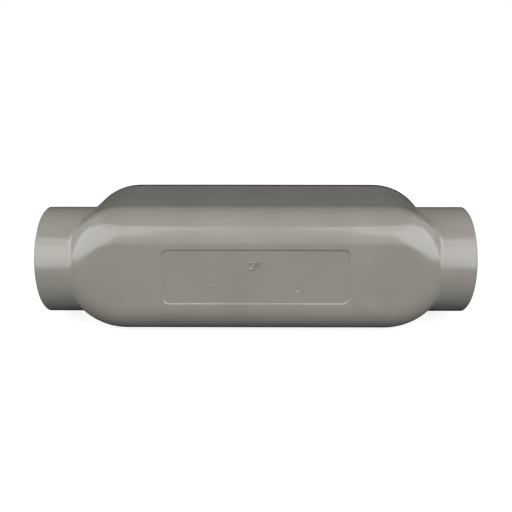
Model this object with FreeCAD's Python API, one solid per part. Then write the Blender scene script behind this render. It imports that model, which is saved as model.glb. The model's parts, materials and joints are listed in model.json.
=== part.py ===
import FreeCAD, Part
import math
import os

# A type C conduit body for 2 inch pipe: a die-cast aluminium trough with a threaded
# hub at each end, closed by a rubber gasket and a pressed sheet cover on two screws.
# Millimetres. X runs along the pipe, +Y points out of the cover, +Z is up.
# The part stands on one long side wall; the smooth closed back faces -Y.

# Pipe thread and the bushing lip behind it
thread_radius = 30.15       # root of a 2 inch taper pipe thread, made as a plain bore
thread_length = 26.0
mouth_chamfer = 1.3
bushing_step = 4.15         # how far the lip that the pipe end stops against stands in
bushing_length = 8.0
bushing_bevel = 2.2         # both of the lip's edges, so that it doesn't cut the wires
barrel_wall = 3.9           # metal round the pipe thread, inside the trough

# Hubs
hub_span = 279.0            # hub face to hub face
hub_wall = 5.2              # metal round the thread, outside the trough
hub_blend_radius = 4.0      # hollow fillet between hub and body
hub_land = 8.75             # straight part between the fillet and the rim
rim_bevel = 1.0             # outer edge of the hub face

# Trough
body_width = 81.8           # the ends are half circles of this width
back_past_hub = 3.55        # how far the closed back stands out past the hubs
flange_past_hub = 11.45     # the same for the flange that the gasket lies on
back_edge_radius = 20.7     # along the straight sides
end_edge_radius = 21.4      # at the middle of each rounded end
wall = 4.0

# Name panel, sunk in the back
panel_length = 117.2
panel_height = 36.1
panel_corner = 3.6
panel_depth = 0.55
panel_slope = 0.75          # how far the panel's edge runs in over its depth

# Cover screws, number 10
screw_radius = 2.4
screw_reach = 7.2           # how far the tip goes past the flange
screw_inset = 10.5          # screw centre to the outside of the rounded end
head_radius = 4.7
head_height = 2.9
head_edge = 1.1             # straight side of the pan head
shoulder_radius = 4.1       # where the pan head's two bevels meet
shoulder_height = 2.2
crown_radius = 2.9          # flat top of the pan head
point_bevel = 0.8           # at the screw's tip
slot_width = 1.3
slot_depth = 1.4
thread_clearance = 0.08
hole_clearance = 0.4
tap_margin = 1.0            # tapped hole runs on past the tip
boss_wall = 3.1

# Gasket
gasket_thickness = 1.6
gasket_overhang = 0.45      # cut this much wider than the flange on each side
gasket_band = 6.5
gasket_slip = 0.6           # lies this far to +X of its screws

# Cover, pressed from sheet
sheet = 1.6
cover_inset = 0.5
field_rim = 9.0             # flat rim round the raised field
field_end = 27.0            # flat end that the screw seats on
field_height = 2.4
field_slope = 2.2
field_round = 1.2

# Used to find edges, not to size anything
same_place = 1e-4
on_cylinder = 0.01

# Places worked out from the sizes
throat_radius = thread_radius - bushing_step
hub_outer_radius = thread_radius + hub_wall
body_length = hub_span - 2 * (hub_blend_radius + hub_land + rim_bevel)
axis_to_back = hub_outer_radius + back_past_hub
axis_to_flange = hub_outer_radius + flange_past_hub
axis_z = body_width / 2
cover_stack = gasket_thickness + sheet + max(field_height, head_height)
back_y = -(axis_to_back + axis_to_flange + cover_stack) / 2
axis_y = back_y + axis_to_back
flange_y = axis_y + axis_to_flange
cover_y = flange_y + gasket_thickness
seat_y = cover_y + sheet
end_radius = body_width / 2
end_centre = body_length / 2 - end_radius
hub_face = hub_span / 2
stop_x = hub_face - thread_length
barrel_x = stop_x - bushing_length
screw_x = body_length / 2 - screw_inset
gasket_lift = gasket_overhang
gasket_shift = math.hypot(gasket_slip, gasket_lift)
SIDES = {"left": -1, "right": 1}


def vec(x, y, z):
    return FreeCAD.Vector(x, y, z)


def stadium(centre_x, radius, y, dx=0.0, dz=0.0):
    """A flat wire standing across Y, its half-circle ends each made of two quarter arcs."""
    z = axis_z + dz
    k = radius * math.sqrt(0.5)
    edges = []
    for turn in (1, -1):
        x = dx + turn * centre_x
        tip = vec(x + turn * radius, y, z)
        edges += [
            Part.LineSegment(vec(dx - turn * centre_x, y, z - turn * radius),
                             vec(x, y, z - turn * radius)).toShape(),
            Part.Arc(vec(x, y, z - turn * radius), vec(x + turn * k, y, z - turn * k), tip).toShape(),
            Part.Arc(tip, vec(x + turn * k, y, z + turn * k), vec(x, y, z + turn * radius)).toShape(),
        ]
    return Part.Wire(edges)


def stadium_prism(centre_x, radius, y, depth, dx=0.0, dz=0.0):
    return Part.Face(stadium(centre_x, radius, y, dx, dz)).extrude(vec(0, depth, 0))


def rounded_rectangle(length, height, corner, y):
    """A flat wire with small round corners, centred on the pipe axis."""
    x = length / 2
    z = height / 2
    k = corner * (1 - math.sqrt(0.5))
    corners = [(1, -1), (1, 1), (-1, 1), (-1, -1)]
    points = []
    for sx, sz in corners:
        along = vec(sx * (x - corner), y, axis_z + sz * z)
        middle = vec(sx * (x - k), y, axis_z + sz * (z - k))
        upright = vec(sx * x, y, axis_z + sz * (z - corner))
        points.append((along, middle, upright) if sx * sz < 0 else (upright, middle, along))
    edges = []
    for n, (start, middle, end) in enumerate(points):
        edges.append(Part.Arc(start, middle, end).toShape())
        edges.append(Part.LineSegment(end, points[(n + 1) % 4][0]).toShape())
    return Part.Wire(edges)


def along_x(x, radius, length, side):
    """A cylinder on the pipe axis, from x outwards."""
    return Part.makeCylinder(radius, length, vec(side * x, axis_y, axis_z), vec(side, 0, 0))


def block(x0, x1, y0, y1, z0, z1):
    return Part.makeBox(x1 - x0, y1 - y0, z1 - z0, vec(x0, y0, z0))


def in_plane(edge, y):
    box = edge.BoundBox
    return abs(box.YMin - y) < same_place and abs(box.YMax - y) < same_place


def edges_at(shape, y):
    return [e for e in shape.Edges if in_plane(e, y)]


def round_back_edge(prism, y, side_radius, end_radius_there):
    """Round the edge of the back by one radius along the sides, running into another at each tip."""
    def radius_at(point):
        return end_radius_there if abs(point.z - axis_z) < same_place else side_radius

    rows = []
    for number, edge in enumerate(prism.Edges, 1):
        if in_plane(edge, y):
            first, last = (edge.valueAt(t) for t in (edge.FirstParameter, edge.LastParameter))
            rows.append((number, radius_at(first), radius_at(last)))
    page = FreeCAD.newDocument("rounding")
    square = page.addObject("Part::Feature", "square")
    square.Shape = prism
    rounded = page.addObject("Part::Fillet", "rounded")
    rounded.Base = square
    rounded.Edges = rows
    page.recompute()
    shape = rounded.Shape.copy()
    FreeCAD.closeDocument(page.Name)
    return shape


def back_shell():
    """The trough's outside, with its large round back edge."""
    tall = axis_to_back + axis_to_flange + 2 * hub_blend_radius
    prism = stadium_prism(end_centre, end_radius, back_y, tall)
    return round_back_edge(prism, back_y, back_edge_radius, end_edge_radius)


def hub_joins(shape):
    """The edges where the hub bar comes out of the rounded ends."""
    found = []
    for edge in shape.Edges:
        places = edge.discretize(4)
        radii = [math.hypot(p.y - axis_y, p.z - axis_z) for p in places]
        on_bar = all(abs(r - hub_outer_radius) < on_cylinder for r in radii)
        inside = all(end_centre < abs(p.x) < hub_face - rim_bevel for p in places)
        turns = max(p.y for p in places) - min(p.y for p in places) > on_cylinder
        if on_bar and inside and turns:
            found.append(edge)
    return found


def rim_edges(shape):
    return [e for e in shape.Edges if abs(abs(e.BoundBox.XMin) - hub_face) < same_place
            and e.BoundBox.XLength < same_place]


def outside():
    """Back shell and both hubs as one smooth block, cut off flat at the flange."""
    bar = Part.makeCylinder(hub_outer_radius, hub_span, vec(-hub_face, axis_y, axis_z), vec(1, 0, 0))
    solid = back_shell().fuse(bar).removeSplitter()
    solid = solid.makeFillet(hub_blend_radius, hub_joins(solid))
    solid = solid.makeChamfer(rim_bevel, rim_edges(solid))
    above = block(-hub_span, hub_span, flange_y, flange_y + hub_span, -hub_span, hub_span)
    return solid.cut(above)


def hub_block(side):
    """What stays inside the trough round a hub: half ring, filled down to the back."""
    depth = hub_face - barrel_x
    radius = thread_radius + barrel_wall
    ring = along_x(barrel_x, radius, depth, side)
    ends = sorted((side * barrel_x, side * hub_face))
    fill = block(ends[0], ends[1], back_y, axis_y, axis_z - radius, axis_z + radius)
    return ring.fuse(fill)


def screw_boss(side, tall):
    """The boss under a cover screw, joined to the rounded end by its own width."""
    radius = screw_radius + boss_wall
    post = Part.makeCylinder(radius, tall, vec(side * screw_x, flange_y - tall, axis_z), vec(0, 1, 0))
    ends = sorted((side * screw_x, side * (body_length / 2)))
    web = block(ends[0], ends[1], flange_y - tall, flange_y, axis_z - radius, axis_z + radius)
    return post.fuse(web)


def trough():
    """The hollow between the hubs, open at the flange."""
    floor_y = back_y + wall
    prism = stadium_prism(end_centre, end_radius - wall, floor_y, flange_y - floor_y)
    hollow = round_back_edge(prism, floor_y, back_edge_radius - wall, end_edge_radius - wall)
    for side in SIDES.values():
        hollow = hollow.cut(hub_block(side))
        hollow = hollow.cut(screw_boss(side, axis_to_flange - throat_radius))
    return hollow


def pipe_way(side):
    """The hub's inside as one turned shape: mouth, thread, stop and bevelled lip."""
    profile = [
        (barrel_x, 0),
        (hub_face, 0),
        (hub_face, thread_radius + mouth_chamfer),
        (hub_face - mouth_chamfer, thread_radius),
        (stop_x, thread_radius),
        (stop_x, throat_radius + bushing_bevel),
        (stop_x - bushing_bevel, throat_radius),
        (barrel_x + bushing_bevel, throat_radius),
        (barrel_x, throat_radius + bushing_bevel),
        (barrel_x, 0),
    ]
    wire = Part.makePolygon([vec(side * x, axis_y + radius, axis_z) for x, radius in profile])
    return Part.Face(wire).revolve(vec(0, axis_y, axis_z), vec(1, 0, 0), 360)


def name_panel():
    """The shallow sunk panel, its edge sloping in all round."""
    low = rounded_rectangle(panel_length - 2 * panel_slope, panel_height - 2 * panel_slope,
                            panel_corner - panel_slope, back_y + panel_depth)
    top = rounded_rectangle(panel_length, panel_height, panel_corner, back_y)
    out = rounded_rectangle(panel_length, panel_height, panel_corner, back_y - panel_depth)
    return Part.makeLoft([top, low], True, True).fuse(Part.makeLoft([out, top], True, True))


def tapped_hole(side):
    depth = screw_reach + tap_margin
    radius = screw_radius + thread_clearance
    hole = Part.makeCylinder(radius, depth, vec(side * screw_x, flange_y - depth, axis_z), vec(0, 1, 0))
    point = Part.makeCone(0, radius, radius / 2, vec(side * screw_x, flange_y - depth - radius / 2, axis_z),
                          vec(0, 1, 0))
    return hole.fuse(point)


def make_body():
    solid = outside().cut(trough())
    for side in SIDES.values():
        solid = solid.cut(pipe_way(side))
        solid = solid.cut(tapped_hole(side))
    return solid.cut(name_panel()).removeSplitter()


def screw_ear(side, radius, y, depth, reach, dx=0.0, dz=0.0):
    """A round-nosed ear from the rounded end in to a screw."""
    x = side * screw_x + dx
    z = axis_z + dz
    nose = Part.makeCylinder(radius, depth, vec(x, y, z), vec(0, 1, 0))
    ends = sorted((x, side * reach + dx))
    return nose.fuse(block(ends[0], ends[1], y, y + depth, z - radius, z + radius))


def make_gasket():
    """A flat rubber ring with an ear at each screw, as long as the flange and a little off centre."""
    outer_r = end_radius + gasket_overhang
    inner_r = outer_r - gasket_band
    centre = end_centre - gasket_overhang
    hole_r = screw_radius + gasket_shift + hole_clearance
    place = (gasket_slip, gasket_lift)
    sheet_solid = stadium_prism(centre, outer_r, flange_y, gasket_thickness, *place)
    window = stadium_prism(centre, inner_r, flange_y, gasket_thickness, *place)
    for side in SIDES.values():
        window = window.cut(screw_ear(side, hole_r + boss_wall / 2, flange_y, gasket_thickness,
                                      end_centre + outer_r, *place))
    ring = sheet_solid.cut(window)
    for side in SIDES.values():
        x = side * screw_x + gasket_slip
        ring = ring.cut(Part.makeCylinder(hole_r, gasket_thickness, vec(x, flange_y, axis_z + gasket_lift),
                                          vec(0, 1, 0)))
    return ring


def field_loft(spread, y, depth):
    """A stadium block whose sides slope in by field_slope as it rises."""
    radius = end_radius - cover_inset - field_rim + spread
    centre = body_length / 2 - field_end - radius + spread
    low = stadium(centre, radius, y)
    high = stadium(centre, radius - field_slope, y + depth)
    return Part.makeLoft([low, high], True, True)


def make_cover():
    """A flat sheet with its middle pressed out."""
    plate = stadium_prism(end_centre, end_radius - cover_inset, cover_y, sheet)
    solid = plate.fuse(field_loft(0, seat_y, field_height))
    solid = solid.makeFillet(field_round, edges_at(solid, seat_y + field_height))
    foot = [e for e in edges_at(solid, seat_y) if e.BoundBox.ZMax < axis_z + end_radius - field_rim
            and e.BoundBox.ZMin > axis_z - end_radius + field_rim]
    solid = solid.makeFillet(field_round, foot)
    solid = solid.cut(field_loft(-sheet / 2, cover_y, field_height))
    for side in SIDES.values():
        solid = solid.cut(Part.makeCylinder(screw_radius + hole_clearance, sheet,
                                            vec(side * screw_x, cover_y, axis_z), vec(0, 1, 0)))
    return solid


def make_screw(side):
    """A slotted pan-head machine screw; its fine thread is left off."""
    x = side * screw_x
    tip_y = flange_y - screw_reach
    top_y = seat_y + head_height
    profile = [
        (0, top_y),
        (0, tip_y),
        (screw_radius - point_bevel, tip_y),
        (screw_radius, tip_y + point_bevel),
        (screw_radius, seat_y),
        (head_radius, seat_y),
        (head_radius, seat_y + head_edge),
        (shoulder_radius, seat_y + shoulder_height),
        (crown_radius, top_y),
        (0, top_y),
    ]
    wire = Part.makePolygon([vec(x + radius, y, axis_z) for radius, y in profile])
    screw = Part.Face(wire).revolve(vec(x, 0, axis_z), vec(0, 1, 0), 360)
    slot = block(x - head_radius, x + head_radius, top_y - slot_depth, top_y + slot_depth,
                 axis_z - slot_width / 2, axis_z + slot_width / 2)
    return screw.cut(slot)


def main():
    os.makedirs("parts", exist_ok=True)
    nodes = {"body": make_body(), "gasket": make_gasket(), "cover": make_cover()}
    for name, side in SIDES.items():
        nodes["cover_screw_" + name] = make_screw(side)
    for name, shape in nodes.items():
        solid = shape.Solids[0]
        print(name, len(shape.Solids), "solid", round(solid.Volume), "mm3, valid", shape.isValid())
        solid.exportStep("parts/" + name + ".step")


main()
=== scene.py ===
# %% [markdown]
# # A type C conduit body for 2 inch pipe
#
# The object is a painted aluminium casting: a trough with a threaded hub at each end. A rubber gasket
# and a pressed cover close it at the back, held by two screws. The photograph looks at its smooth
# closed side. The solids come from the CAD model. This script adds what Blender is good at: paint, bare
# metal, rubber, threads, raised marks, light and a camera.

# %% Load the solids
import json
import math

import bpy
from mathutils import Matrix, Vector


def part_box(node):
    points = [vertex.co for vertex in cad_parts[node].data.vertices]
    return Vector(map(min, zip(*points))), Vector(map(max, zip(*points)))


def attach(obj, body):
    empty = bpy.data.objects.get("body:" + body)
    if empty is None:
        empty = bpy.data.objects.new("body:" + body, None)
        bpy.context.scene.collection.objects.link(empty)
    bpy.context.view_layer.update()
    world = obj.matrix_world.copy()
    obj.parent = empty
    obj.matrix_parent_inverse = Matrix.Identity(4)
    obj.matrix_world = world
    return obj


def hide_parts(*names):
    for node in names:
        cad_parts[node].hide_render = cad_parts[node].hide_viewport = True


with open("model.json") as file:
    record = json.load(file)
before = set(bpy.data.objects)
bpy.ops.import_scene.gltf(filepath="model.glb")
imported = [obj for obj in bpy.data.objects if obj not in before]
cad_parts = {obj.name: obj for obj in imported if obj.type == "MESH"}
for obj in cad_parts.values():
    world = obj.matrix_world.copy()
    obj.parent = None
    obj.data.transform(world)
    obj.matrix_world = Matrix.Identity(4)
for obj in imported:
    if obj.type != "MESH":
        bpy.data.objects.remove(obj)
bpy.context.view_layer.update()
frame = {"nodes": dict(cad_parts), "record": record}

solids = frame["nodes"]
print("solids:", sorted(solids))

# %% [markdown]
# Every place below is worked out from the solids, so that nothing drifts if a size changes. The record
# of the part keeps the axis and the radius of each pipe thread, and the boxes of the solids give the
# rest. Lengths are metres, because Blender's unit is the metre, and MM turns a millimetre into one.

# %% Find the main places
MM = 0.001
INCH = 25.4 * MM
SIDES = {"left": -1, "right": 1}

hub = next(mount for mount in frame["record"]["mounts"] if mount["name"] == "hub_right")
bore_middle, axis_y, axis_z = hub["pos_m"]
bore_radius = hub["dims"]["r_mm"] * MM
bore_length = hub["dims"]["length_mm"] * MM
stop_x = bore_middle - bore_length / 2
body_low, body_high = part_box("body")
back_y = body_low.y
hub_face = body_high.x
mouth_bevel = hub_face - bore_middle - bore_length / 2
axis_middle = Vector((0.0, axis_y, axis_z))
print(f"pipe axis at y {axis_y:.4f}, z {axis_z:.4f}; thread from x {stop_x:.4f} to {hub_face:.4f}")

# %% [markdown]
# ## Node trees as sums
#
# A material is a tree of nodes. With each node and link added by hand, a page of calls hides what the
# material does, and shader sums read best as plain arithmetic. `Value` wraps one output socket, so that
# `a * b + 1` adds its Math nodes by itself.


# %% Sums of sockets
class Value:
    """A socket that takes part in sums."""

    def __init__(self, wiring, socket):
        self.wiring = wiring
        self.socket = socket

    def sum_node(self, operation, *inputs, clamp=False):
        settings = {"operation": operation, "use_clamp": clamp}
        return self.wiring.add("ShaderNodeMath", settings, dict(enumerate(inputs)))

    def __add__(self, other):
        return self.sum_node("ADD", self, other)

    def __sub__(self, other):
        return self.sum_node("SUBTRACT", self, other)

    def __rsub__(self, other):
        return self.sum_node("SUBTRACT", other, self)

    def __mul__(self, other):
        return self.sum_node("MULTIPLY", self, other)

    __radd__ = __add__
    __rmul__ = __mul__

    def absolute(self):
        return self.sum_node("ABSOLUTE", self)

    def root(self):
        return self.sum_node("SQRT", self)

    def rises(self, start, end):
        """0 below start, 1 above end, smooth between."""
        return self.wiring.add("ShaderNodeMapRange", {"interpolation_type": "SMOOTHSTEP"},
                               {"Value": self, "From Min": start, "From Max": end})


# %% [markdown]
# `Wiring` holds a tree and has one method that adds any other node: first its settings, then its
# inputs. The materials and the world all use it.


# %% Any other node
class Wiring:
    """A node tree, and one method that adds any node to it."""

    def __init__(self, tree):
        self.tree = tree

    def feed(self, node, socket, value):
        """Link a Value to a node's input, or write a number or a colour there."""
        if isinstance(value, Value):
            self.tree.links.new(value.socket, node.inputs[socket])
        else:
            node.inputs[socket].default_value = value

    def add(self, kind, settings=None, inputs=None, output=0):
        """Add a node, set it up, feed it, and give back one of its outputs."""
        node = self.tree.nodes.new(kind)
        for name, value in (settings or {}).items():
            setattr(node, name, value)
        for socket, value in (inputs or {}).items():
            self.feed(node, socket, value)
        return Value(self, node.outputs[output])


# %% [markdown]
# `Finish` is such a tree inside a new material. It has a method for each thing that every finish of the
# fitting needs: a noise, a colour between two others, and a relief. All of them read Object
# coordinates, which stay on the surface however the camera moves.


# %% Finishes
class Finish(Wiring):
    """A new material with its Principled shader. What is the same all over is set when it is made."""

    def __init__(self, name, **constants):
        self.material = bpy.data.materials.new(name)
        self.material.use_nodes = True
        super().__init__(self.material.node_tree)
        self.shader = self.tree.nodes["Principled BSDF"]
        for socket, value in constants.items():
            self.feed(self.shader, socket.replace("_", " "), value)

    def varies(self, socket, value):
        """Let an input of the shader change over the surface."""
        self.feed(self.shader, socket, value)

    def place(self):
        return self.add("ShaderNodeTexCoord", output="Object")

    def noise(self, scale, detail):
        return self.add("ShaderNodeTexNoise", {}, {"Vector": self.place(), "Scale": scale, "Detail": detail})

    def blend(self, factor, first, second):
        """A colour between two others."""
        inputs = {"Factor": factor, 6: first, 7: second}
        return self.add("ShaderNodeMix", {"data_type": "RGBA"}, inputs, output=2)

    def relief(self, height, distance, normal=None):
        """A normal that is tilted as if the surface rose by height times distance."""
        inputs = {"Height": height, "Distance": distance}
        if normal:
            inputs["Normal"] = normal
        return self.add("ShaderNodeBump", {}, inputs)


def dress(piece, finish):
    piece.data.materials.clear()
    piece.data.materials.append(finish.material)


# %% [markdown]
# ## The paint
#
# The pipe thread is cut after painting, so inside the hubs bare aluminium shows, out to the bevel of
# the mouth and in to the stop. A second material would need a face that ends just there. Instead, where
# the bare metal starts is worked out from the distance to the pipe axis.

# %% Where the metal is bare
METAL_REACH = 1.25 * MM
STOP_REACH = 0.3 * MM
PAINT_LINE = 0.2 * MM


def cut_metal_mask(finish):
    """1 on the machined inside of both hubs, 0 on the paint, and the radius and x that it comes from."""
    x, y, z = (finish.add("ShaderNodeSeparateXYZ", {}, {0: finish.place()}, output=n) for n in range(3))
    up = z - axis_z
    out = y - axis_y
    radius = (up * up + out * out).root()
    metal_radius = bore_radius + METAL_REACH
    metal_end = stop_x - STOP_REACH
    inside = 1 - radius.rises(metal_radius, metal_radius + PAINT_LINE)
    past_stop = x.absolute().rises(metal_end, metal_end + PAINT_LINE)
    return inside * past_stop, radius, x


print(f"bare metal to {METAL_REACH / MM} mm outside the bore; mouth bevelled by {mouth_bevel / MM:.1f} mm")

# %% [markdown]
# The casting has a warm grey baked paint, smooth and semi-gloss. Close up, such paint has a faint
# orange peel: low bumps a millimetre or two apart, over the slightly uneven skin of the die casting.
# The colour is nearly even, only a little lighter and darker over several centimetres. Each of these is
# a noise of its own scale, which needs no image and looks right from any distance. Coordinates are
# metres, so a noise of scale 26 has blotches about 1/26 m or 4 cm wide, and one of scale 620 has bumps
# 1.6 mm wide. Real edges are never sharp, so a Bevel node rounds the shading of each edge.

# %% Paint of the casting, the cover and the marks
PAINT = (0.225, 0.215, 0.192, 1.0)
PAINT_PALE = (0.245, 0.235, 0.210, 1.0)
CUT_METAL = (0.46, 0.46, 0.455, 1.0)
CUT_METAL_PALE = (0.58, 0.58, 0.57, 1.0)
EDGE_RADIUS = 0.45 * MM
MARK_EDGE_RADIUS = 0.08 * MM
SKIN_HEIGHT = 0.016 * MM
PEEL_HEIGHT = 0.003 * MM


def make_paint(name, with_cut_metal=False, edge_radius=EDGE_RADIUS):
    finish = Finish(name, IOR=1.5)
    drift = finish.noise(26.0, 2.0)
    peel = finish.noise(620.0, 2.0)
    skin = finish.noise(95.0, 3.0)
    speck = finish.noise(2600.0, 1.0)
    colour = finish.blend(drift.rises(0.3, 0.7), PAINT, PAINT_PALE)
    gloss = 0.155 + skin * 0.03 + speck * 0.02
    rounded = finish.add("ShaderNodeBevel", {"samples": 6}, {"Radius": edge_radius})
    waves = finish.relief(skin, SKIN_HEIGHT, rounded)
    bumps = finish.relief(peel, PEEL_HEIGHT, waves)
    if with_cut_metal:
        mask, radius, x = cut_metal_mask(finish)
        round_axis = finish.add("ShaderNodeCombineXYZ", {}, {0: x * 60.0, 1: radius * 60.0})
        streaks = finish.add("ShaderNodeTexNoise", {}, {"Vector": round_axis, "Scale": 160.0, "Detail": 3.0})
        bare = finish.blend(streaks, CUT_METAL, CUT_METAL_PALE)
        colour = finish.blend(mask, colour, bare)
        gloss = gloss + mask * (streaks * 0.12 + 0.14)
        finish.varies("Metallic", mask)
    finish.varies("Base Color", colour)
    finish.varies("Roughness", gloss)
    finish.varies("Normal", bumps)
    return finish


casting_paint = make_paint("casting_paint", with_cut_metal=True)
cover_paint = make_paint("cover_paint")
mark_paint = make_paint("mark_paint", edge_radius=MARK_EDGE_RADIUS)
dress(solids["body"], casting_paint)
dress(solids["cover"], cover_paint)
print("nodes in the casting's paint:", len(casting_paint.tree.nodes))

# %% [markdown]
# ## The gasket
#
# The gasket is die-cut from black rubber sheet, and only its edge shows. Rubber sheet is matt, a little
# dusty, and has a fine grain. One flat black would look like a gap. Two noises at very different scales
# keep it rubber: one for the dusty cloudiness of the colour, one for the grain.

# %% Rubber of the gasket
RUBBER = (0.012, 0.012, 0.012, 1.0)
RUBBER_DUSTY = (0.030, 0.030, 0.029, 1.0)

rubber = Finish("gasket_rubber", IOR=1.5)
cloud = rubber.noise(70.0, 4.0)
grain = rubber.noise(1800.0, 3.0)
rubber.varies("Base Color", rubber.blend(cloud.rises(0.35, 0.75), RUBBER, RUBBER_DUSTY))
rubber.varies("Roughness", 0.62 + grain * 0.2)
rubber.varies("Normal", rubber.relief(grain, 0.03 * MM))
dress(solids["gasket"], rubber)
print("nodes in the rubber:", len(rubber.tree.nodes))

# %% [markdown]
# ## Cut aluminium and zinc
#
# The threads are cut with a tool, so their metal is bright with fine marks. The cover screws are
# zinc-plated steel: slightly bluish, with a soft uneven shine. Both could share one grey metal, but
# side by side the real ones differ in colour. Metallic is the same all over, and only colour, roughness
# and a small relief vary.

# %% Metals
ZINC = (0.50, 0.51, 0.53, 1.0)
ZINC_PALE = (0.66, 0.66, 0.65, 1.0)

cut_aluminium = Finish("cut_aluminium", Metallic=1.0)
tool_marks = cut_aluminium.noise(900.0, 3.0)
cut_aluminium.varies("Base Color", cut_aluminium.blend(tool_marks, CUT_METAL, CUT_METAL_PALE))
cut_aluminium.varies("Roughness", 0.32 + tool_marks * 0.14)
cut_aluminium.varies("Normal", cut_aluminium.relief(tool_marks, 0.015 * MM))

zinc = Finish("screw_zinc", Metallic=1.0)
mottle = zinc.noise(480.0, 4.0)
fine = zinc.noise(2400.0, 2.0)
zinc.varies("Base Color", zinc.blend(mottle.rises(0.3, 0.7), ZINC, ZINC_PALE))
zinc.varies("Roughness", 0.28 + mottle * 0.16)
zinc.varies("Normal", zinc.relief(fine, 0.012 * MM))
print("metals:", cut_aluminium.material.name, zinc.material.name)

# %% [markdown]
# ## Picking and shaping
#
# Every piece is modelled as by hand: add a primitive at its size, go into edit mode, pick faces by
# their normal or edges by their place, and use an operator on them. An operator acts on all that is
# selected, so these helpers always clear the selection first.


# %% Helpers for picking
def clear_selection():
    bpy.ops.object.select_all(action="DESELECT")


def select_only(piece):
    clear_selection()
    piece.select_set(True)
    bpy.context.view_layer.objects.active = piece


def edit(piece, pick_faces=None, pick_edges=None):
    """Go into edit mode on piece with only the faces or edges selected for which the test is true."""
    select_only(piece)
    bpy.ops.object.mode_set(mode="EDIT")
    bpy.ops.mesh.select_all(action="DESELECT")
    bpy.ops.mesh.select_mode(type="FACE" if pick_faces else "EDGE")
    bpy.ops.object.mode_set(mode="OBJECT")
    mesh = piece.data
    if pick_faces:
        for face in mesh.polygons:
            face.select = pick_faces(face)
    if pick_edges:
        for edge in mesh.edges:
            edge.select = pick_edges(*(mesh.vertices[v].co for v in edge.vertices))
    bpy.ops.object.mode_set(mode="EDIT")


def end_edit():
    bpy.ops.object.mode_set(mode="OBJECT")


# %% [markdown]
# Modifiers are applied as soon as they are added, so that each piece is a plain mesh between its steps.


# %% Helpers for modifiers
def apply_modifier(piece, kind, **settings):
    modifier = piece.modifiers.new(kind.lower(), kind)
    for name, value in settings.items():
        setattr(modifier, name, value)
    select_only(piece)
    bpy.ops.object.modifier_apply(modifier=modifier.name)


def cut_with(piece, cutter):
    """Take the cutter's shape out of the piece, and throw the cutter away."""
    apply_modifier(piece, "BOOLEAN", operation="DIFFERENCE", object=cutter, solver="EXACT")
    bpy.data.objects.remove(cutter)


def round_edges(piece, width):
    """Bevel each edge that is sharper than 50 degrees."""
    apply_modifier(piece, "BEVEL", width=width, segments=3, limit_method="ANGLE",
                   angle_limit=math.radians(50))


# %% [markdown]
# ## Finishing a piece
#
# When a piece is done, its place goes into its mesh, and its object sits at the origin like the solids,
# so that the patterns of its material stay where they are. It then gets its finish, and rides with the
# fitting.


# %% Helpers for finishing a piece
def settle(piece, name, smooth_degrees):
    """Give the piece its name, put its place in its mesh, and shade it smooth but for sharp edges."""
    select_only(piece)
    bpy.ops.object.transform_apply(location=True, rotation=True, scale=True)
    bpy.ops.object.shade_smooth_by_angle(angle=math.radians(smooth_degrees))
    piece.name = name
    piece.data.name = name
    return piece


def finish_piece(piece, finish):
    dress(piece, finish)
    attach(piece, "root")
    print(f"{piece.name}: {len(piece.data.polygons)} faces")


# %% [markdown]
# ## A thread ridge
#
# A thread is one ridge wound round an axis. A bump in the material would show no real edge in the hub's
# mouth, and rings would not climb. The Screw modifier makes exactly that ridge from a small closed
# outline: it turns the outline, and moves it on by one pitch in each turn. The outline starts as a
# circle with four corners, which are then put on the ridge's foot and crest. Pipe threads also taper,
# so each point is moved in as it goes deeper. The first and last half turn sink into the wall, as where
# a tool starts and runs out.

# %% Thread ridge
FADE_TURNS = 0.5


def thread_ridge(pitch, foot_radius, crest_radius, turns, steps_per_turn, taper=0.0):
    """A ridge wound round X from x = 0 on, as an object at the origin."""
    clear_selection()
    bpy.ops.mesh.primitive_circle_add(vertices=4, radius=1.0)
    ridge = bpy.context.object
    half_foot = 0.49 * pitch
    half_crest = 0.06 * pitch
    outline = [(-half_foot, foot_radius), (-half_crest, crest_radius),
               (half_crest, crest_radius), (half_foot, foot_radius)]
    for vertex, (x, radius) in zip(ridge.data.vertices, outline):
        vertex.co = (x + half_foot, 0.0, radius)
    edit(ridge, pick_edges=lambda a, b: True)
    bpy.ops.mesh.edge_face_add()
    bpy.ops.mesh.delete(type="ONLY_FACE")
    end_edit()
    length = pitch * turns
    steps = int(steps_per_turn * turns)
    apply_modifier(ridge, "SCREW", axis="X", angle=2 * math.pi * turns, screw_offset=length,
                   steps=steps, render_steps=steps, use_merge_vertices=False)
    for vertex in ridge.data.vertices:
        x, y, z = vertex.co
        radius = math.hypot(y, z)
        turns_from_end = min(x / pitch, turns - x / pitch)
        rise = min(1.0, max(0.0, turns_from_end / FADE_TURNS))
        wanted = foot_radius + (radius - foot_radius) * rise - taper * (length - x)
        vertex.co = (x, y * wanted / radius, z * wanted / radius)
    edit(ridge, pick_edges=lambda a, b: True)
    bpy.ops.mesh.select_all(action="SELECT")
    bpy.ops.mesh.fill_holes(sides=4)
    bpy.ops.mesh.normals_make_consistent(inside=False)
    end_edit()
    return ridge


def half_turns_in(length, pitch):
    """How many turns fit in a length, down to the half turn."""
    return int(length / pitch * 2) / 2


# %% [markdown]
# ## Pipe threads in the hubs
#
# A 2 inch pipe thread has 11.5 turns to the inch, and its radius tapers by 1 in 32. The solid leaves it
# off and keeps a plain bore at the thread's root, so here the ridge stands in from that bore, with its
# foot sunk a little into the wall. The hub's mouth is bevelled, and the same cone is cut from the
# ridge, so the first turn starts thin as on the real hub.

# %% Pipe threads
PIPE_PITCH = INCH / 11.5
PIPE_TAPER = 1 / 32
PIPE_THREAD_DEPTH = 1.55 * MM
FOOT_SUNK = 0.15 * MM
RUN_OUT = 1.6 * MM
CONE_DEPTH = 6 * MM

thread_start = stop_x + RUN_OUT
thread_turns = half_turns_in(hub_face - stop_x - RUN_OUT, PIPE_PITCH)
mouth_radius = bore_radius + mouth_bevel


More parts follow.
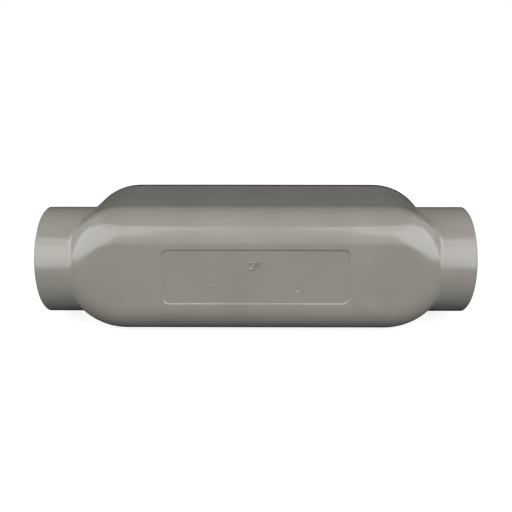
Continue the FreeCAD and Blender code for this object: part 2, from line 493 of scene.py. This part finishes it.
def pipe_thread(name, side):
    foot_radius = bore_radius + FOOT_SUNK
    crest_radius = bore_radius - PIPE_THREAD_DEPTH
    ridge = thread_ridge(PIPE_PITCH, foot_radius, crest_radius, thread_turns, steps_per_turn=60,
                         taper=PIPE_TAPER)
    turn = Matrix.Rotation(math.pi if side < 0 else 0.0, 4, "Z")
    along_hub = Matrix.Translation((thread_start, 0.0, 0.0))
    ridge.data.transform(Matrix.Translation(axis_middle) @ turn @ along_hub)
    bpy.ops.mesh.primitive_cone_add(
        vertices=96, radius1=mouth_radius - CONE_DEPTH, radius2=mouth_radius + CONE_DEPTH,
        depth=2 * CONE_DEPTH, location=(side * hub_face, axis_y, axis_z),
        rotation=(0.0, side * math.pi / 2, 0.0))
    cut_with(ridge, bpy.context.object)
    settle(ridge, name, smooth_degrees=30)
    finish_piece(ridge, cut_aluminium)


for word, side in SIDES.items():
    pipe_thread("pipe_thread_" + word, side)

# %% [markdown]
# ## Raised marks in the panel
#
# The sunk panel on the back carries the trade size, 2 inches, cast in relief, and two small plain marks
# below it. Each mark is modelled lying flat, and is then stood up against the panel. It reaches into
# the panel's floor, so that no gap shows, and stands up half a millimetre, so that it ends just below
# the surface round the panel.

# %% Place of the marks
PANEL_DEPTH = 0.55 * MM
MARK_HEIGHT = 0.52 * MM
MARK_SUNK = 0.2 * MM
MARK_SMOOTH_DEGREES = 40

mark_thickness = MARK_HEIGHT + MARK_SUNK
mark_y = back_y + PANEL_DEPTH + (MARK_SUNK - MARK_HEIGHT) / 2
print(f"middle of the marks at y {mark_y:.5f}")


def stand_up(piece, x, z):
    """Turn what points up in a flat mark to point out of the back, at x and z from the pipe axis."""
    piece.rotation_euler = (math.pi / 2, 0.0, 0.0)
    piece.location = (x, mark_y, axis_z + z)


# %% [markdown]
# The digit could be drawn point by point, but a text object is a digit already. It has its own slant,
# depth and rounded edge, and then becomes a mesh. Its edge is round all the way, as a shallow cast
# letter's is.

# %% Digit of the trade size
DIGIT_SIZE = 7.4 * MM
DIGIT_SLANT = 0.25
DIGIT_THINNED = 0.02 * MM


def size_digit():
    clear_selection()
    bpy.ops.object.text_add()
    text = bpy.context.object
    text.data.body = "2"
    text.data.size = DIGIT_SIZE
    text.data.shear = DIGIT_SLANT
    text.data.align_x = "CENTER"
    text.data.align_y = "CENTER"
    text.data.bevel_depth = mark_thickness / 2
    text.data.bevel_resolution = 3
    text.data.offset = -DIGIT_THINNED
    bpy.ops.object.convert(target="MESH")
    digit = bpy.context.object
    stand_up(digit, x=-2.5 * MM, z=7.4 * MM)
    return settle(digit, "size_digit", MARK_SMOOTH_DEGREES)


# %% [markdown]
# The ring is a short cylinder, a little taller than it is wide. Its front face is inset and pushed back
# to just behind the panel's floor, so that the floor shows inside the rim that is left. A torus would be
# rounder than the real mark.

# %% Ring
RING_HALF_WIDTH = 2.3 * MM
RING_HALF_HEIGHT = 2.9 * MM
RING_RIM = 1.15 * MM


def ring_mark():
    clear_selection()
    bpy.ops.mesh.primitive_cylinder_add(vertices=40, radius=1.0, depth=mark_thickness)
    ring = bpy.context.object
    for vertex in ring.data.vertices:
        vertex.co.x *= RING_HALF_WIDTH
        vertex.co.y *= RING_HALF_HEIGHT
    edit(ring, pick_faces=lambda face: face.normal.z > 0.9)
    bpy.ops.mesh.inset(thickness=RING_RIM)
    bpy.ops.transform.translate(value=(0.0, 0.0, -MARK_HEIGHT - MARK_SUNK / 2))
    end_edit()
    round_edges(ring, 0.25 * MM)
    stand_up(ring, x=26.4 * MM, z=-7.3 * MM)
    return settle(ring, "ring_mark", MARK_SMOOTH_DEGREES)


# %% [markdown]
# The bars, and the two strokes of the inch sign, are boxes with their edges rounded. A stroke is turned
# while it is still flat, because it is easier to turn about one axis than about two.


# %% Bars and strokes
def bar_mark(name, x, z, width, height, lean=0.0):
    clear_selection()
    bpy.ops.mesh.primitive_cube_add(size=1.0)
    bar = bpy.context.object
    for vertex in bar.data.vertices:
        vertex.co.x *= width
        vertex.co.y *= height
        vertex.co.z *= mark_thickness
    round_edges(bar, 0.3 * MM)
    bar.data.transform(Matrix.Rotation(-lean, 4, "Z"))
    stand_up(bar, x, z)
    return settle(bar, name, MARK_SMOOTH_DEGREES)


# %% [markdown]
# Now the marks are made and painted, each as a piece of its own. Their places are measured from the
# pipe axis, x to the right and z up.

# %% All marks
stroke = {"z": 9.0 * MM, "width": 0.8 * MM, "height": 3.3 * MM, "lean": math.radians(22)}
marks = [
    size_digit(),
    bar_mark("first_inch_stroke", x=1.1 * MM, **stroke),
    bar_mark("second_inch_stroke", x=2.9 * MM, **stroke),
    ring_mark(),
    bar_mark("upper_bar_mark", x=-26.5 * MM, z=-5.7 * MM, width=3.7 * MM, height=1.2 * MM),
    bar_mark("lower_bar_mark", x=-25.8 * MM, z=-11.1 * MM, width=3.0 * MM, height=0.7 * MM),
]
for mark in marks:
    finish_piece(mark, mark_paint)

# %% [markdown]
# ## Cover screws
#
# The two screws are number 10 pan-head machine screws with a slot. The solids leave out the fine
# thread, so each screw is made again here. The new screw takes the solid's place and keeps its size:
# the head's radius and the tip are read from the solid's box, and the seat lies one thickness of the
# cover's sheet above the gasket.

# %% Sizes of a screw
SCREW_PITCH = INCH / 24
SHEET = 1.6 * MM
SHANK_RADIUS = 2.4 * MM
CORE_RADIUS = 1.85 * MM

screw_low, screw_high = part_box("cover_screw_right")
screw_x = (screw_low.x + screw_high.x) / 2
seat_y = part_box("gasket")[1].y + SHEET
head_radius = (screw_high.x - screw_low.x) / 2
head_height = screw_high.y - seat_y
shank_length = seat_y - screw_low.y
print(f"screw head {2 * head_radius / MM:.1f} mm wide, shank {shank_length / MM:.1f} mm long")

# %% [markdown]
# The head is a cylinder. Its top edge is bevelled with a round profile, which gives the pan its dome,
# and a box cuts the slot. A sharp slot would catch no light, so the long edges at its top are bevelled
# a little. HAIR is how far off an edge may be and still be picked.

# %% Screw head
HEAD_ROUNDING = 1.75 * MM
SLOT_WIDTH = 1.3 * MM
SLOT_DEPTH = 1.4 * MM
SLOT_EDGE = 0.08 * MM
HAIR = 0.01 * MM


def at_head_top(a, b):
    return min(a.z, b.z) > head_height - HAIR


def along_slot(a, b):
    """True for the long edges at the top of the slot."""
    high = min(a.z, b.z) > 0.6 * head_height
    beside_slot = max(abs(a.y), abs(b.y)) < SLOT_WIDTH / 2 + HAIR
    lengthwise = abs(a.x - b.x) > 0.5 * head_radius
    return high and beside_slot and lengthwise


def screw_head():
    """The pan head, its top facing +Z, with its seat at z = 0."""
    clear_selection()
    bpy.ops.mesh.primitive_cylinder_add(vertices=64, radius=head_radius, depth=head_height,
                                        location=(0.0, 0.0, head_height / 2))
    head = bpy.context.object
    bpy.ops.object.transform_apply(location=True, rotation=True, scale=True)
    edit(head, pick_edges=at_head_top)
    bpy.ops.mesh.bevel(offset=HEAD_ROUNDING, segments=7, profile=0.5, clamp_overlap=False)
    end_edit()
    clear_selection()
    bpy.ops.mesh.primitive_cube_add(size=1.0, location=(0.0, 0.0, head_height))
    cutter = bpy.context.object
    cutter.scale = (4 * head_radius, SLOT_WIDTH, 2 * SLOT_DEPTH)
    cut_with(head, cutter)
    edit(head, pick_edges=along_slot)
    bpy.ops.mesh.bevel(offset=SLOT_EDGE, segments=2)
    end_edit()
    return head


# %% [markdown]
# The shank is a thinner cylinder, a little sunk into the head, with its far end bevelled to a point.

# %% Screw shank
SHANK_SUNK = 0.1 * MM
POINT_BEVEL = 0.6 * MM


def screw_shank():
    """The core of the shank, below z = 0."""
    clear_selection()
    bpy.ops.mesh.primitive_cylinder_add(vertices=40, radius=CORE_RADIUS, depth=shank_length,
                                        location=(0.0, 0.0, -shank_length / 2 + SHANK_SUNK))
    shank = bpy.context.object
    bpy.ops.object.transform_apply(location=True, rotation=True, scale=True)
    edit(shank, pick_faces=lambda face: face.normal.z < -0.9)
    bpy.ops.mesh.bevel(offset=POINT_BEVEL, segments=3)
    end_edit()
    return shank


# %% [markdown]
# Head, shank and the same kind of ridge as in the hubs are joined to one piece. Nobody lines up the
# slots of two screws, so each is turned by its own angle.

# %% Whole screws
SLOT_TURNS = {"left": math.radians(24), "right": math.radians(-61)}
THREAD_BELOW_HEAD = 0.4 * MM
SHANK_WITHOUT_THREAD = 1.0 * MM
SCREW_FOOT_SUNK = 0.1 * MM

screw_turns = half_turns_in(shank_length - SHANK_WITHOUT_THREAD, SCREW_PITCH)


def make_screw(word, side):
    foot_radius = CORE_RADIUS - SCREW_FOOT_SUNK
    ridge = thread_ridge(SCREW_PITCH, foot_radius, SHANK_RADIUS, screw_turns, steps_per_turn=32)
    below_head = Matrix.Translation((0.0, 0.0, -THREAD_BELOW_HEAD))
    ridge.data.transform(below_head @ Matrix.Rotation(math.pi / 2, 4, "Y"))
    parts = [screw_head(), screw_shank(), ridge]
    clear_selection()
    for part in parts:
        part.select_set(True)
    bpy.context.view_layer.objects.active = parts[0]
    bpy.ops.object.join()
    screw = bpy.context.object
    turn = Matrix.Rotation(-math.pi / 2, 4, "X") @ Matrix.Rotation(SLOT_TURNS[word], 4, "Z")
    screw.data.transform(Matrix.Translation((side * screw_x, seat_y, axis_z)) @ turn)
    settle(screw, "plated_screw_" + word, smooth_degrees=30)
    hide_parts("cover_screw_" + word)
    finish_piece(screw, zinc)


for word, side in SIDES.items():
    make_screw(word, side)

# %% [markdown]
# ## Camera
#
# The photograph is taken from the closed side, a little above the pipe axis, from less than half a
# metre. These numbers were found by laying the outline of the solids over the photograph. The camera
# looks straight at the middle of the pipe axis, and the lens is shifted, because the object sits a
# little below the middle of the picture.

# %% Camera
CAMERA_DISTANCE = 0.4357
CAMERA_ELEVATION = math.radians(17.66)
CAMERA_TO_RIGHT = math.radians(0.24)

turn_up = Matrix.Rotation(-CAMERA_ELEVATION, 3, "X")
turn_right = Matrix.Rotation(CAMERA_TO_RIGHT, 3, "Z")
to_eye = turn_right @ turn_up @ Vector((0.0, -1.0, 0.0))
camera = bpy.data.objects.new("camera", bpy.data.cameras.new("camera"))
camera.data.sensor_width = 36.0
camera.data.lens = 44.9
camera.data.shift_x = 0.0004
camera.data.shift_y = 0.0053
camera.data.clip_start = 0.01
camera.data.clip_end = 50.0
camera.location = axis_middle + to_eye * CAMERA_DISTANCE
camera.rotation_euler = to_eye.to_track_quat("Z", "Y").to_euler()
bpy.context.scene.collection.objects.link(camera)
bpy.context.scene.camera = camera
print("camera at", [round(part, 4) for part in camera.location])

# %% [markdown]
# ## Floor and background
#
# The picture has a white ground. The floor is white to the camera and to reflections, and keeps the
# soft shadow of the object, but it gives little light to the object itself, so that the underside stays
# dark as in the photograph. The Light Path node tells these kinds of ray apart: one shader is what is
# seen, the other is what only carries light. What is seen glows, and glows more far away, where less of
# the lamps' light falls. The floor lies a tenth of a millimetre below the object, so that two faces
# don't fall in one plane.

# %% Floor
WHITE = (1.0, 1.0, 1.0, 1.0)
FLOOR_SIZE = 6.0
FLOOR_GAP = 0.1 * MM
FLOOR_SEEN = (0.30, 0.30, 0.30, 1.0)
FLOOR_AS_LIGHT = (0.05, 0.05, 0.05, 1.0)
GLOW_NEAR = 0.84


def seen_directly(wiring):
    """1 for rays from the camera, a mirror or glass, 0 for rays that only carry light."""
    camera_ray, glossy_ray, transmission_ray = (
        wiring.add("ShaderNodeLightPath", output=name)
        for name in ("Is Camera Ray", "Is Glossy Ray", "Is Transmission Ray"))
    return camera_ray.sum_node("ADD", camera_ray + glossy_ray, transmission_ray, clamp=True)


clear_selection()
bpy.ops.mesh.primitive_plane_add(size=FLOOR_SIZE, location=(0.0, 0.0, -FLOOR_GAP))
floor = bpy.context.object
floor.name = "floor"
ground = Finish("white_ground", Roughness=1.0, Specular_IOR_Level=0.0, Base_Color=FLOOR_SEEN)
from_object = ground.add("ShaderNodeVectorMath", {"operation": "LENGTH"}, {0: ground.place()}, output=1)
glow_level = GLOW_NEAR + from_object.rises(0.25, 1.0) * (1 - GLOW_NEAR)
glow = ground.add("ShaderNodeEmission", {}, {"Color": WHITE, "Strength": glow_level})
lit_floor = Value(ground, ground.shader.outputs[0])
seen_floor = ground.add("ShaderNodeAddShader", {}, {0: lit_floor, 1: glow})
dim_floor = ground.add("ShaderNodeBsdfDiffuse", {}, {"Color": FLOOR_AS_LIGHT})
chosen = ground.add("ShaderNodeMixShader", {}, {0: seen_directly(ground), 1: dim_floor, 2: seen_floor})
ground.feed(ground.tree.nodes["Material Output"], "Surface", chosen)
dress(floor, ground)
print(f"floor {FLOOR_SIZE} m wide")

# %% [markdown]
# ## Dark cards
#
# Glossy paint mirrors its surroundings most where it is seen at a flat angle, here along the upper wall
# and the underside, which are dark in the photograph. Darker paint would be wrong elsewhere. A
# photographer sets dark cards where those surfaces look: one behind, one above, one on the floor in
# front and one on the floor behind. Only reflections see them. They cast no shadow and take no light
# away.

# %% Cards
card_paper = Finish("card_paper", Roughness=1.0, Specular_IOR_Level=0.0, Base_Color=(0.02, 0.02, 0.02, 1.0))


def dark_card(name, width, depth, place, tilt=0.0):
    """A card that lies flat at tilt 0 and stands upright at a quarter turn."""
    clear_selection()
    bpy.ops.mesh.primitive_plane_add(size=1.0, location=place, rotation=(tilt, 0.0, 0.0))
    card = bpy.context.object
    card.name = name
    card.scale = (width, depth, 1.0)
    card.visible_camera = False
    card.visible_diffuse = False
    card.visible_transmission = False
    card.visible_shadow = False
    dress(card, card_paper)
    print(f"{name}: {width} by {depth} m")


dark_card("card_behind", 2.6, 1.3, (0.0, 0.90, 0.65), tilt=math.pi / 2)
dark_card("card_above", 2.4, 2.4, (0.0, 0.0, 1.65))
dark_card("card_in_front", 1.2, 0.9, (0.0, -0.37, 0.001))
dark_card("card_on_floor_behind", 2.4, 0.56, (0.0, 0.62, 0.001))

# %% [markdown]
# ## World
#
# The world is white where it is seen, in the picture and in metal, and weak as a light. The same sum of
# rays as on the floor tells the two apart.

# %% World
WORLD_AS_LIGHT = 0.03

world = bpy.data.worlds.new("room")
bpy.context.scene.world = world
world.use_nodes = True
room = Wiring(world.node_tree)
background = room.tree.nodes["Background"]
room.feed(background, "Color", WHITE)
room.feed(background, "Strength", WORLD_AS_LIGHT + seen_directly(room) * (1 - WORLD_AS_LIGHT))
print("nodes in the world:", len(room.tree.nodes))

# %% [markdown]
# ## Lamps
#
# A large soft box stands to the left and another to the right in front of the object, low enough to
# shine on the walls of the round ends. A narrow strip above each makes the brighter line along the
# rounding and the hubs. Their places were found from where the photograph has its highlights. Two
# weaker lamps stand behind, for the cover side. The paint would mirror them as bright spots, so
# reflections don't see those two.

# %% Lamps
LAMP_DISTANCE = 1.4
REAR_LAMP_DISTANCE = 0.7


def soft_lamp(name, azimuth, elevation, width, height, power, distance=LAMP_DISTANCE):
    """A soft box that faces the object. Azimuth 0 stands behind the camera, and grows to the right."""
    lamp = bpy.data.objects.new(name, bpy.data.lights.new(name, "AREA"))
    lamp.data.shape = "RECTANGLE"
    lamp.data.size = width
    lamp.data.size_y = height
    lamp.data.energy = power
    a, e = math.radians(azimuth), math.radians(elevation)
    away = Vector((math.sin(a) * math.cos(e), -math.cos(a) * math.cos(e), math.sin(e)))
    lamp.location = axis_middle + away * distance
    lamp.rotation_euler = away.to_track_quat("Z", "Y").to_euler()
    bpy.context.scene.collection.objects.link(lamp)
    print(f"{name}: {width} by {height} m, {power} W")
    return lamp


soft_lamp("left_lamp", azimuth=-52, elevation=22, width=1.85, height=1.18, power=23.6)
soft_lamp("right_lamp", azimuth=52, elevation=22, width=1.85, height=1.18, power=24.4)
for word, side in SIDES.items():
    soft_lamp(f"{word}_strip", azimuth=42 * side, elevation=50, width=1.2, height=0.18, power=2.5)
for word, side in SIDES.items():
    rear_lamp = soft_lamp(f"rear_{word}_lamp", azimuth=150 * side, elevation=4, width=0.5, height=0.14,
                          power=2.2, distance=REAR_LAMP_DISTANCE)
    rear_lamp.visible_glossy = False

# %% [markdown]
# ## Colour and the end
#
# The Standard view shows each colour as it is written.

# %% Finish
bpy.context.scene.view_settings.view_transform = "Standard"
